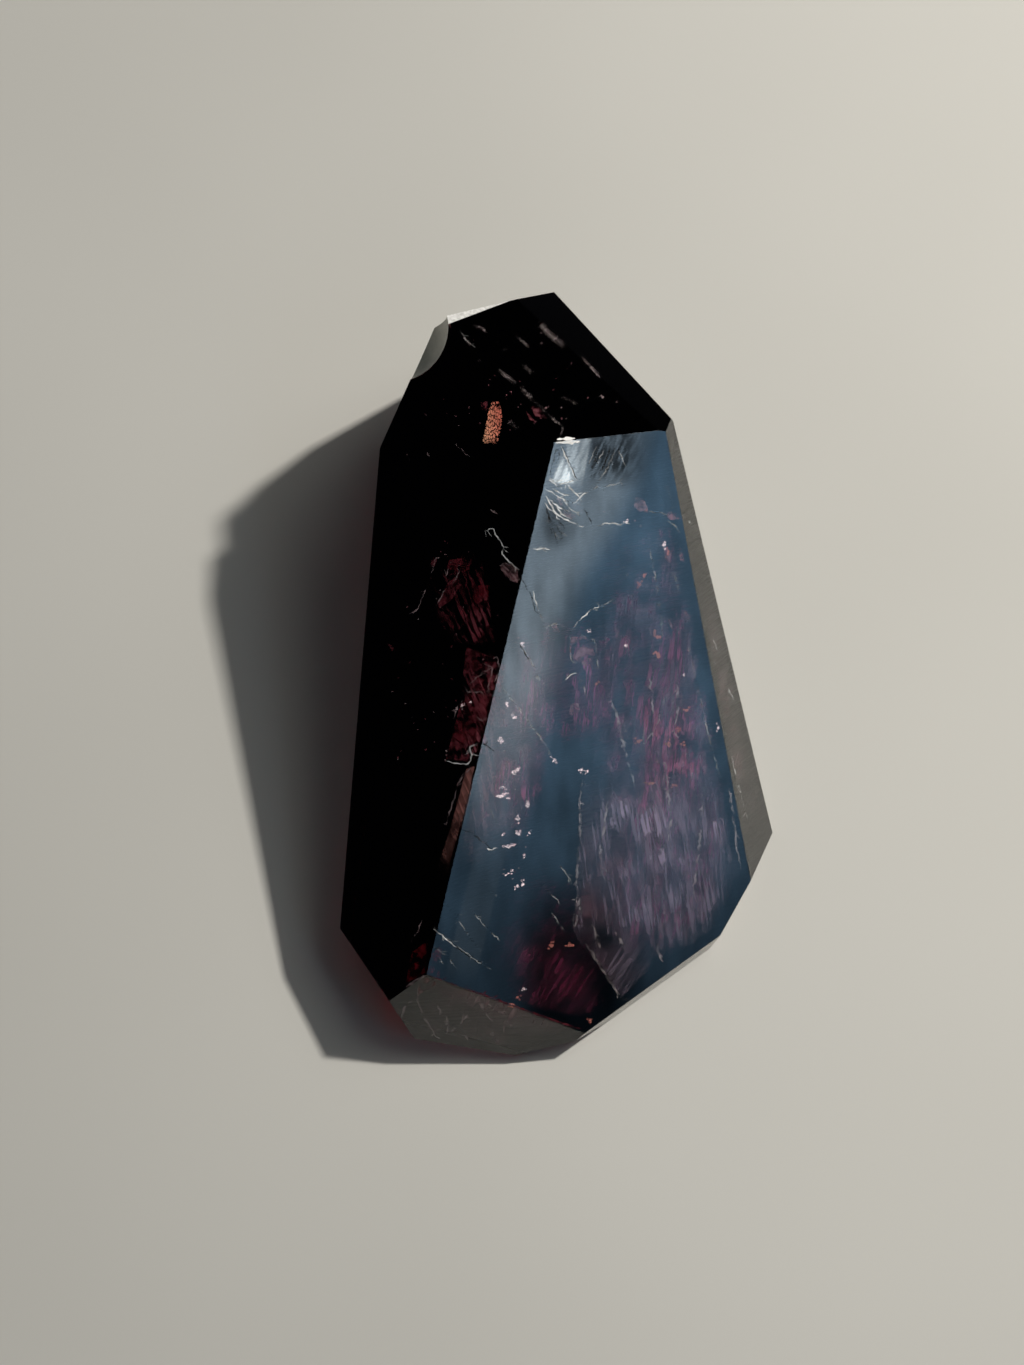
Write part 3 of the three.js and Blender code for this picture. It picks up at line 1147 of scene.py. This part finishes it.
# %% End facet
END_GRAIN = grain((462, 992), (480, 1032))
END_CLOUD = [((428, 981), (414, 1034)), ((470, 996), (450, 1040)), ((520, 1014), (495, 1047)),
             ((560, 1028), (530, 1047))]
sheets_piece(
    "end_cloud", [END_CLOUD], depth=0.4, wave=0.1, across=8, along=16,
    material=veil_material(
        "end_cloud", cover=0.35, fade=(0.1, 0.1, 0.1, 0.2), splinters=(420.0, 0.006, 6.0),
        clumps=(0.36, 0.62, 0.1), turn=END_GRAIN))
END_PINK = [((428, 979), (428, 996)), ((480, 996), (476, 1014)), ((530, 1013), (524, 1032)),
            ((578, 1029), (566, 1038))]
sheets_piece(
    "end_pink", [END_PINK], depth=0.9, wave=0.1, across=6, along=20,
    material=veil_material(
        "end_pink", cover=0.8, fade=(0.02, 0.9, 0.1, 0.2), splinters=(900.0, 0.003, 6.0),
        clumps=(0.34, 0.60, 0.3), turn=END_GRAIN))
END_LINES = [
    [(417.5, 988), (417, 1000), (424, 1018), (436, 1036)],
    [(437, 1003), (443, 1020), (450, 1030)],
    [(468.5, 990), (478.5, 1000), (484.5, 1010), (492.5, 1022)],
    [(452, 1032), (460, 1024), (468, 1014)],
    [(446, 1034), (449, 1026), (445, 1016)],
    [(402, 1018), (404, 1008), (412, 1000)],
    [(488, 1004), (500, 1012), (506, 1015)],
    [(503, 1033), (506, 1020), (515, 1030)],
    [(468, 1040), (463, 1030), (458, 1022)],
]
lines_piece(
    "end_lines", END_LINES, width=2.0, depth=0.25, jitter=0.9,
    material=crack_material("end_line", colour=VEIL, cover=0.6, gaps=(0.3, 0.66)))

# %% Side facet
SIDE_STREAK = [((693, 560), (702, 560)), ((706, 620), (718, 620)), ((719, 700), (736, 700)),
               ((734, 780), (754, 780)), ((745, 838), (764, 832))]
sheets_piece(
    "side_streak", [SIDE_STREAK], depth=0.4, wave=0.1, across=4, along=20,
    material=veil_material(
        "side_streak", cover=0.25, fade=(0.1, 0.1, 0.3, 0.2), splinters=(1200.0, 0.012, 3.0),
        clumps=(0.36, 0.60, 0.2), turn=SIDE_GRAIN))
SIDE_PINK = [((703, 606), (709, 606)), ((719, 690), (729, 690)), ((732, 760), (745, 760)),
             ((743, 818), (757, 818))]
sheets_piece(
    "side_pink", [SIDE_PINK], depth=0.9, wave=0.1, across=4, along=20,
    material=veil_material(
        "side_pink", cover=0.4, fade=(0.2, 0.4, 0.3, 0.2), splinters=(1500.0, 0.009, 3.0),
        clumps=(0.40, 0.62, 0.1), turn=SIDE_GRAIN))

# %% [markdown]
# ## Specks
# Pin points of light are scattered through most of the stone. Each is a tiny five-cornered disc at a
# random depth: white near the skin, red further in.

# %% Scatter specks
SPECK_CORNERS = 5
SPECK_SIZES = (0.9, 2.1)
SPECK_DEPTHS = (0.1, 1.9)
SPECK_REACH = (0.6, 1.3)
LEFT_SPECKS = [((432, 530), (500, 535)), ((398, 610), (500, 620)), ((388, 690), (470, 700)),
               ((392, 770), (448, 760))]
CROWN_SPECKS = [((462, 335), (560, 310)), ((430, 400), (620, 400)), ((420, 430), (550, 435))]
RIDGE_SPECKS = [((510, 630), (552, 640)), ((495, 700), (545, 700)), ((478, 780), (536, 790)),
                ((500, 880), (545, 880))]
RIGHT_SPECKS = [((600, 500), (672, 500)), ((590, 600), (690, 600)), ((590, 740), (712, 740)),
                ((600, 880), (700, 880))]
SPECKLED = [(LEFT_SPECKS, 46), (CROWN_SPECKS, 34), (RIDGE_SPECKS, 34), (RIGHT_SPECKS, 40)]

specks = new_shape()
for region, count in SPECKLED:
    for _ in range(count):
        spot = spot_on(region, random.random(), random.random())
        size = random.uniform(*SPECK_SIZES) / 2
        depth = random.uniform(*SPECK_DEPTHS)
        for vert in add_disc(specks, SPECK_CORNERS, random.uniform(0, math.tau)):
            vert.co = seat(spot + vert.co.xy * size * random.uniform(*SPECK_REACH), depth)
add_piece("specks", specks, crack_material("speck", colour=WHITE, cover=0.9, gaps=(0.2, 0.5)))

# %% [markdown]
# ## Glints and the rusty fleck
# Some cracks are still open, and a flake of air in a stone is a mirror. It flashes where it faces
# halfway between the eye and the lamp, so each flake is tilted to do that, with both directions
# bent by the garnet. One fleck near the top is a rusty film, broken into small cells.

# %% Flakes
LAMP_AZIMUTH, LAMP_ELEVATION = 25, 52
FLAKE_CORNERS = (4, 5, 6)
FLAKE_REACH = (0.35, 1.0)
NEIGHBOURS = 3
BESIDE = 0.6
BEHIND = (0.05, 0.2)
SMALLER = 0.55
DENT_STRENGTH, DENT_DEPTH = 0.8, 0.1 * MM
DENT_SCALE, DENT_DETAIL = 2600.0, 2.0


def beam(azimuth, elevation):
    level = math.cos(math.radians(elevation))
    return Vector((level * math.cos(math.radians(azimuth)),
                   level * math.sin(math.radians(azimuth)), math.sin(math.radians(elevation))))


def flash_normal(spot):
    _, normal, ray = entry(spot)
    lamp_inside = -bend(-beam(LAMP_AZIMUTH, LAMP_ELEVATION), normal)
    return (lamp_inside - bend(ray, normal)).normalized()


def on_flake(spot, centre, tilt):
    hit, normal, ray = entry(spot)
    inward = bend(ray, normal)
    return hit + inward * ((centre - hit).dot(tilt) / inward.dot(tilt))


def add_flake(shape, spot, width, height, depth):
    tilt = flash_normal(spot)
    centre = seat(spot, depth)
    for vert in add_disc(shape, random.choice(FLAKE_CORNERS), random.uniform(0, math.tau)):
        reach = random.uniform(*FLAKE_REACH) / 2
        corner = (spot[0] + width * reach * vert.co.x, spot[1] + height * reach * vert.co.y)
        vert.co = on_flake(corner, centre, tilt)


def add_cluster(shape, spot, width, height, depth):
    add_flake(shape, spot, width, height, depth)
    for _ in range(NEIGHBOURS):
        beside = (spot[0] + random.uniform(-BESIDE, BESIDE) * width,
                  spot[1] + random.uniform(-BESIDE, BESIDE) * height)
        behind = depth + random.uniform(*BEHIND)
        add_flake(shape, beside, width * SMALLER, height * SMALLER, behind)


def flakes_piece(name, flakes, depth, material):
    shape = new_shape()
    for spot, width, height in flakes:
        add_cluster(shape, spot, width, height, depth)
    add_piece(name, shape, material)


def flake_material(name, colour, roughness):
    material, graph = new_material(name)
    dents = graph.clouds(DENT_SCALE, DENT_DETAIL)
    bump = graph.wire("ShaderNodeBump", None,
                      {"Strength": DENT_STRENGTH, "Distance": DENT_DEPTH, "Height": dents})
    shader = graph.node("ShaderNodeBsdfPrincipled", None,
                        {"Base Color": colour, "Metallic": 1.0, "Roughness": roughness,
                         "Normal": bump})
    graph.finish(shader)
    return material


print("lamp shines from:", [round(v, 2) for v in beam(LAMP_AZIMUTH, LAMP_ELEVATION)])

# %% White and warm glints
AIR_FILM = (0.95, 0.95, 0.95, 1)
RUST_FILM = (0.9, 0.62, 0.42, 1)
GLINTS = [
    ((513.5, 772.5), 9, 8), ((499.5, 796), 15, 6), ((502.5, 787.5), 8, 4),
    ((527.5, 804.5), 5, 13), ((518, 818), 6, 8), ((518, 833.5), 6, 8), ((508.5, 846), 10, 9),
    ((524, 857), 4, 7), ((529.5, 833), 4, 5), ((502.5, 835), 4, 4), ((511.5, 871.5), 6, 4),
    ((506, 875), 4, 3), ((517.5, 886), 5, 6), ((523, 884), 4, 7), ((513.5, 716.5), 5, 8),
    ((507, 703.5), 4, 6), ((500.5, 740), 5, 8), ((581, 770), 6, 5), ((587, 772), 5, 4),
    ((554.5, 760.5), 6, 6), ((664.5, 545), 6, 11), ((683.5, 675.5), 4, 4), ((718, 728), 4, 7),
    ((589, 632), 4, 4), ((625.5, 645), 4, 4), ((524, 989), 4, 4), ((626.5, 522), 5, 5),
    ((470.5, 702), 4, 4), ((462, 706), 4, 6), ((457, 709), 4, 4), ((522, 644), 5, 4),
]
WARM_GLINTS = [
    ((657, 637), 6, 8), ((655, 631.5), 4, 6), ((658, 655), 8, 7), ((644, 576), 4, 7),
    ((639, 584), 7, 8), ((646.5, 509.5), 4, 4), ((668, 553), 5, 8),
    ((596.5, 684), 5, 4), ((513, 1004), 6, 4), ((687, 710), 6, 6), ((678, 729), 9, 5),
    ((668.5, 744), 6, 8), ((681.5, 744), 6, 6), ((651.5, 783), 10, 4), ((674, 785), 9, 4),
    ((638.5, 741), 6, 5), ((551.5, 945), 7, 7), ((569.5, 945), 7, 6), ((590, 1020), 6, 6),
    ((517.5, 997), 5, 4),
]
flakes_piece(
    "glints", GLINTS, depth=0.3,
    material=flake_material("air_film", colour=AIR_FILM, roughness=0.12))
flakes_piece(
    "warm_glints", WARM_GLINTS, depth=1.0,
    material=flake_material("rust_film", colour=RUST_FILM, roughness=0.4))

# %% Rusty fleck
FLECK = [((492, 402), (499, 401.5)), ((489, 407), (501.5, 408)), ((486.5, 416), (502.5, 417)),
         ((485, 427), (501.5, 428)), ((483.5, 435), (499.5, 436)), ((482, 441), (498.5, 441.5)),
         ((484, 445.5), (496, 445.5))]
FLECK_MIDDLE = (492.5, 422)
FLECK_DEPTH = 0.8
RUST = (1.0, 0.62, 0.36, 1)
RUST_ROUGHNESS = 0.2
CELL_STRETCH, CELL_SCALE = (1.5, 0.7, 1.0), 3000.0
CELL_GAP = (0.06, 0.16)
FLECK_SIDE_FADE, FLECK_FOOT_FADE = 0.1, 0.35


def fleck_material():
    material, graph = new_material("rust_cells")
    cells = graph.wire("ShaderNodeTexVoronoi", {"feature": "DISTANCE_TO_EDGE"},
                       {"Vector": graph.place(CELL_STRETCH), "Scale": CELL_SCALE})
    side, rise = graph.map_sides()
    ragged = side.between(0.0, FLECK_SIDE_FADE) * (1 - side).between(0.0, FLECK_SIDE_FADE)
    ragged = ragged * rise.between(0.0, FLECK_FOOT_FADE)
    shader = graph.node("ShaderNodeBsdfPrincipled", None,
                        {"Base Color": RUST, "Metallic": 1.0, "Roughness": RUST_ROUGHNESS,
                         "Alpha": ragged * cells.between(*CELL_GAP)})
    graph.finish(shader)
    return material


fleck = new_shape()
add_sheet(fleck, FLECK, FLECK_DEPTH, across=4, along=12)
fleck_tilt = flash_normal(FLECK_MIDDLE)
fleck_centre = seat(FLECK_MIDDLE, FLECK_DEPTH)
_, fleck_normal, fleck_ray = entry(FLECK_MIDDLE)
inward = bend(fleck_ray, fleck_normal)
for vert in fleck.verts:
    vert.co += inward * ((fleck_centre - vert.co).dot(fleck_tilt) / inward.dot(fleck_tilt))
add_piece("rust_fleck", fleck, fleck_material())

# %% [markdown]
# ## The floor
# A plain pale surface to lie on, wide enough to fill the picture from above. From a low angle its far
# edge shows. A faint slow noise keeps it from looking like paint.

# %% Floor
FLOOR_HALF = 2.5
FLOOR_DARK, FLOOR_LIGHT = (0.63, 0.62, 0.59, 1), (0.70, 0.69, 0.66, 1)
FLOOR_SCALE, FLOOR_DETAIL = 9.0, 2.0
FLOOR_ROUGHNESS, FLOOR_SHINE = 0.6, 0.2


def floor_material():
    material, graph = new_material("floor")
    tone = two_tones(graph, FLOOR_DARK, FLOOR_LIGHT, graph.clouds(FLOOR_SCALE, FLOOR_DETAIL))
    shader = graph.node("ShaderNodeBsdfPrincipled", None,
                        {"Base Color": tone, "Roughness": FLOOR_ROUGHNESS,
                         "Specular IOR Level": FLOOR_SHINE})
    graph.finish(shader)
    return material


sheet = bmesh.new()
bmesh.ops.create_grid(sheet, x_segments=1, y_segments=1, size=FLOOR_HALF)
floor_mesh = bpy.data.meshes.new("floor")
sheet.to_mesh(floor_mesh)
sheet.free()
floor = bpy.data.objects.new("floor", floor_mesh)
floor.data.materials.append(floor_material())
bpy.context.collection.objects.link(floor)
print("floor, m:", FLOOR_HALF * 2)

# %% [markdown]
# ## Lamps
# A small warm lamp from the right and a little behind throws the shadow. It isn't seen through the
# garnet, because so small a lamp would only make stray sparks there. A broad soft lamp beside it
# lights what is sealed inside, and the flakes are tilted to mirror it.

# %% Key and soft key
KEY_WARM = (1.0, 0.96, 0.88)
SOFT_WARM = (1.0, 0.97, 0.92)


def area_light(name, colour, power, width, azimuth, elevation, distance):
    light = bpy.data.lights.new(name, "AREA")
    light.shape = "SQUARE"
    light.size = width
    light.color = colour
    light.energy = power
    lamp = bpy.data.objects.new(name, light)
    lamp.visible_camera = False
    lamp.location = AIM + beam(azimuth, elevation) * distance
    lamp.rotation_euler = beam(azimuth, elevation).to_track_quat("Z", "Y").to_euler()
    bpy.context.collection.objects.link(lamp)
    return lamp


key = area_light(
    "key", colour=KEY_WARM, power=3.1, width=0.035, azimuth=27, elevation=45, distance=0.6)
key.visible_transmission = False
area_light(
    "soft_key", colour=SOFT_WARM, power=0.8, width=0.45, azimuth=LAMP_AZIMUTH,
    elevation=LAMP_ELEVATION, distance=0.7)

# %% [markdown]
# ## The mirrored panel
# The broad right facet works as a mirror, so what stands in front of it decides its look: a bluish
# soft panel, paler along the ridge, with a bright window in its upper corner. The panel is put
# exactly where the facet shows it, by following the line of sight from the camera to the facet and
# off it. Its map holds picture points, so its light can be written in the same points.

# %% Hang the panel
PANEL_AWAY = 0.6
PANEL = [((530, 400), (705, 395)), ((385, 1060), (790, 1060))]
FACET_SPOT = (600, 700)
facet_point, facet_normal, _ = entry(FACET_SPOT)


def mirrored(spot):
    ray = sight(spot)
    bounce = ray - facet_normal * 2 * ray.dot(facet_normal)
    return on_plane(spot, facet_point, facet_normal) + bounce * PANEL_AWAY


def panel(name, rungs, material):
    shape = new_shape()
    picture_map = shape.loops.layers.uv.active
    bmesh.ops.create_grid(shape, x_segments=8, y_segments=14, size=HALF)
    for vert in shape.verts:
        spot = spot_on(rungs, vert.co.x + HALF, HALF - vert.co.y)
        vert.co = mirrored(spot)
        for loop in vert.link_loops:
            loop[picture_map].uv = spot
    made = bpy.data.meshes.new(name)
    shape.to_mesh(made)
    shape.free()
    placed = bpy.data.objects.new(name, made)
    made.materials.append(material)
    placed.visible_camera = False
    bpy.context.collection.objects.link(placed)


print("facet that mirrors the panel, mm:", [round(v / MM, 1) for v in facet_point])

# %% [markdown]
# ## Light on the panel
# The light is written in picture points, x to the right and y down. Each patch of light is a product
# of soft edges, and an edge is a line and the width of its fade. The blue sky dims toward the foot.
# White light lies along the ridge, in the window and in a narrow gleam, and a thin strip runs lower
# down. Stretched noise breaks all of it up.

# %% Edges and patches
RIDGE_START, RIDGE_SLOPE = 661.2, 0.237


def past(place, line, fade):
    return (place - line).between(0, fade)


def short_of(place, line, fade):
    return (line - place).between(0, fade)


def spread(x, y, centre, size):
    across = (x - centre[0]) * (1 / size[0])
    down = (y - centre[1]) * (1 / size[1])
    return across * across + down * down


def ridge_distance(x, y):
    return x + RIDGE_SLOPE * y - RIDGE_START


print("ridge at the height of the facet's middle:", RIDGE_START - RIDGE_SLOPE * FACET_SPOT[1])

# %% Blue sky
SKY_LOW, SKY_RISE, SKY_TOP = 0.34, 0.66, 0.34
SKY_FOOT, SKY_UPPER = (1010, 320), (670, 170)
DIM_CENTRE, DIM_SIZE = (575, 990), (68, 108)
DIM_EDGE, DIM_LEAST = (0.15, 1.5), 0.1


def sky_light(x, y):
    sky = SKY_LOW + SKY_RISE * short_of(y, *SKY_FOOT) + SKY_TOP * short_of(y, *SKY_UPPER)
    return sky * spread(x, y, DIM_CENTRE, DIM_SIZE).between(*DIM_EDGE).at_least(DIM_LEAST)


print("sky from foot to top:", SKY_LOW, "to", SKY_LOW + SKY_RISE + SKY_TOP)

# %% White light
RIDGE_WIDTH, RIDGE_WIDENS, RIDGE_FADE = 26, 34, 46
RIDGE_HEAD, RIDGE_END = (610, 130), (870, 210)
STRIP_NEAR, STRIP_FAR = (14, 3), (48, 3)
STRIP_TOP, STRIP_FOOT = (800, 70), (988, 40)
GLEAM_LEFT, GLEAM_LEFT_SLOPE = (685.5, 5), 0.28
GLEAM_RIGHT, GLEAM_RIGHT_SLOPE, GLEAM_RIGHT_FADE = 373.0, 0.42, 4
GLEAM_FOOT, GLEAM_TOP = (485, 4), (440, 40)
WINDOW_LEFT, WINDOW_FOOT = (565, 4), (492, 24)
WINDOW_RIGHT, WINDOW_SLOPE, WINDOW_FADE = 680.6, 0.2, 3
RIDGE_POWER, STRIP_POWER, WINDOW_POWER, GLEAM_POWER = 1.2, 0.10, 2.6, 6.0
HAIR_EDGE, HAIR_LEAST = (0.36, 0.6), 0.35


def ridge_light(x, y):
    wide = RIDGE_WIDTH + RIDGE_WIDENS * short_of(y, *RIDGE_HEAD)
    near = (wide + RIDGE_FADE - ridge_distance(x, y)).between(0, RIDGE_FADE)
    return near * short_of(y, *RIDGE_END)


def strip_light(x, y):
    away = ridge_distance(x, y)
    narrow = past(away, *STRIP_NEAR) * short_of(away, *STRIP_FAR)
    return narrow * past(y, *STRIP_TOP) * short_of(y, *STRIP_FOOT)


def gleam_light(x, y):
    left = past(x + GLEAM_LEFT_SLOPE * y, *GLEAM_LEFT)
    right = (GLEAM_RIGHT_SLOPE * y + GLEAM_RIGHT - x).between(0, GLEAM_RIGHT_FADE)
    return left * right * short_of(y, *GLEAM_FOOT) * past(y, *GLEAM_TOP)


def window_light(x, y):
    right = (WINDOW_RIGHT - WINDOW_SLOPE * y - x).between(0, WINDOW_FADE)
    return past(x, *WINDOW_LEFT) * right * short_of(y, *WINDOW_FOOT)


def white_light(x, y, hairs):
    sharp = WINDOW_POWER * window_light(x, y) + GLEAM_POWER * gleam_light(x, y)
    soft = RIDGE_POWER * ridge_light(x, y) + STRIP_POWER * strip_light(x, y)
    return soft + sharp * hairs.between(*HAIR_EDGE).at_least(HAIR_LEAST)


print("brightest white light:", GLEAM_POWER)

# %% Shade
GAP_LEFT, GAP_RIGHT, GAP_FOOT = (586, 10), (655, 34), (494, 28)
GAP_LEAST, GAP_HAIRS, GAP_EDGE = 0.35, 0.5, (0.35, 0.6)
WEB_CENTRE, WEB_SIZE, WEB_EDGE, WEB_SHADE = (559, 524), (20, 26), (0.1, 1.3), 0.5
NOISE_EDGE = (0.3, 0.7)
BRUSH_STRETCH, BRUSH_LEAST, BRUSH_MORE = (0.045, 0.010, 1), 0.78, 0.44
FLOW_STRETCH, FLOW_LEAST, FLOW_MORE = (0.022, 0.014, 1), 0.86, 0.28
SHADE_DETAIL = 6.0


def shade(graph, x, y, hairs):
    gap = past(x, *GAP_LEFT) * short_of(x, *GAP_RIGHT) * short_of(y, *GAP_FOOT)
    web = 1 - spread(x, y, WEB_CENTRE, WEB_SIZE).between(*WEB_EDGE)
    dim = (1 - gap * (GAP_LEAST + GAP_HAIRS * (1 - hairs).between(*GAP_EDGE))) * (1 - WEB_SHADE * web)
    brush = graph.clouds(1.0, SHADE_DETAIL, graph.place(BRUSH_STRETCH, out="UV"))
    flow = graph.clouds(1.0, SHADE_DETAIL, graph.place(FLOW_STRETCH, out="UV"))
    dim = dim * (BRUSH_LEAST + BRUSH_MORE * brush.between(*NOISE_EDGE))
    return dim * (FLOW_LEAST + FLOW_MORE * flow.between(*NOISE_EDGE))


print("web of cracks shades the panel by:", WEB_SHADE)

# %% Panel material
BLUE = (0.40, 0.74, 1.12)
PALE = (0.95, 1.0, 0.98)
HAIR_STRETCH, HAIR_LEAN, HAIR_DETAIL = (0.30, 0.05, 1), math.radians(-24), 5.0


def tinted(graph, colour, amount):
    return graph.wire("ShaderNodeVectorMath", {"operation": "SCALE"}, {0: colour, "Scale": amount})


def sky_material():
    material, graph = new_material("sky_panel")
    x, y = graph.map_sides()
    hairs = graph.clouds(1.0, HAIR_DETAIL, graph.place(HAIR_STRETCH, (0, 0, HAIR_LEAN), "UV"))
    dim = shade(graph, x, y, hairs)
    blue = tinted(graph, BLUE, sky_light(x, y) * dim)
    pale = tinted(graph, PALE, white_light(x, y, hairs) * dim)
    light = graph.wire("ShaderNodeVectorMath", {"operation": "ADD"}, {0: blue, 1: pale})
    graph.finish(graph.node("ShaderNodeEmission", None, {"Color": light, "Strength": 1.0}))
    return material


panel("sky_panel", PANEL, sky_material())
print("panel hung, m away:", PANEL_AWAY)

# %% [markdown]
# ## The room
# The left facet and the crown mirror the room at middle heights, so it is dark there. A bright low
# rim makes the steep facets pale, and a dim ceiling fills the shadow. A line of sight may cross many
# veils one behind the other, so light is let through more layers than usual.

# %% Room
VEIL_LAYERS = 32
DARK = (0.003, 0.003, 0.004, 1)
ROOM_TONES = [(0.0, (0.40, 0.40, 0.39, 1)), (0.05, (0.23, 0.23, 0.23, 1)),
              (0.15, (0.03, 0.03, 0.035, 1)), (0.24, DARK), (0.80, DARK),
              (0.90, (0.065, 0.085, 0.09, 1))]


def studio_world():
    world = bpy.data.worlds.new("studio")
    bpy.context.scene.world = world
    world.use_nodes = True
    graph = Graph(world.node_tree)
    direction = graph.wire("ShaderNodeTexCoord", out="Generated")
    height = graph.wire("ShaderNodeSeparateXYZ", None, {"Vector": direction}, "Z")
    tone = graph.wire("ShaderNodeValToRGB", {"stops": ROOM_TONES}, {"Fac": height})
    background = graph.node("ShaderNodeBackground", None, {"Color": tone, "Strength": 1.0})
    output = graph.node("ShaderNodeOutputWorld")
    graph.tree.links.new(background.outputs[0], output.inputs["Surface"])


studio_world()
bpy.context.scene.cycles.transparent_max_bounces = VEIL_LAYERS
view = bpy.context.scene.view_settings
view.view_transform = "Standard"
view.look = "None"
print("room tones:", len(ROOM_TONES))

# %% [markdown]
# ## Sizes
# The looks must not change the stone's size.
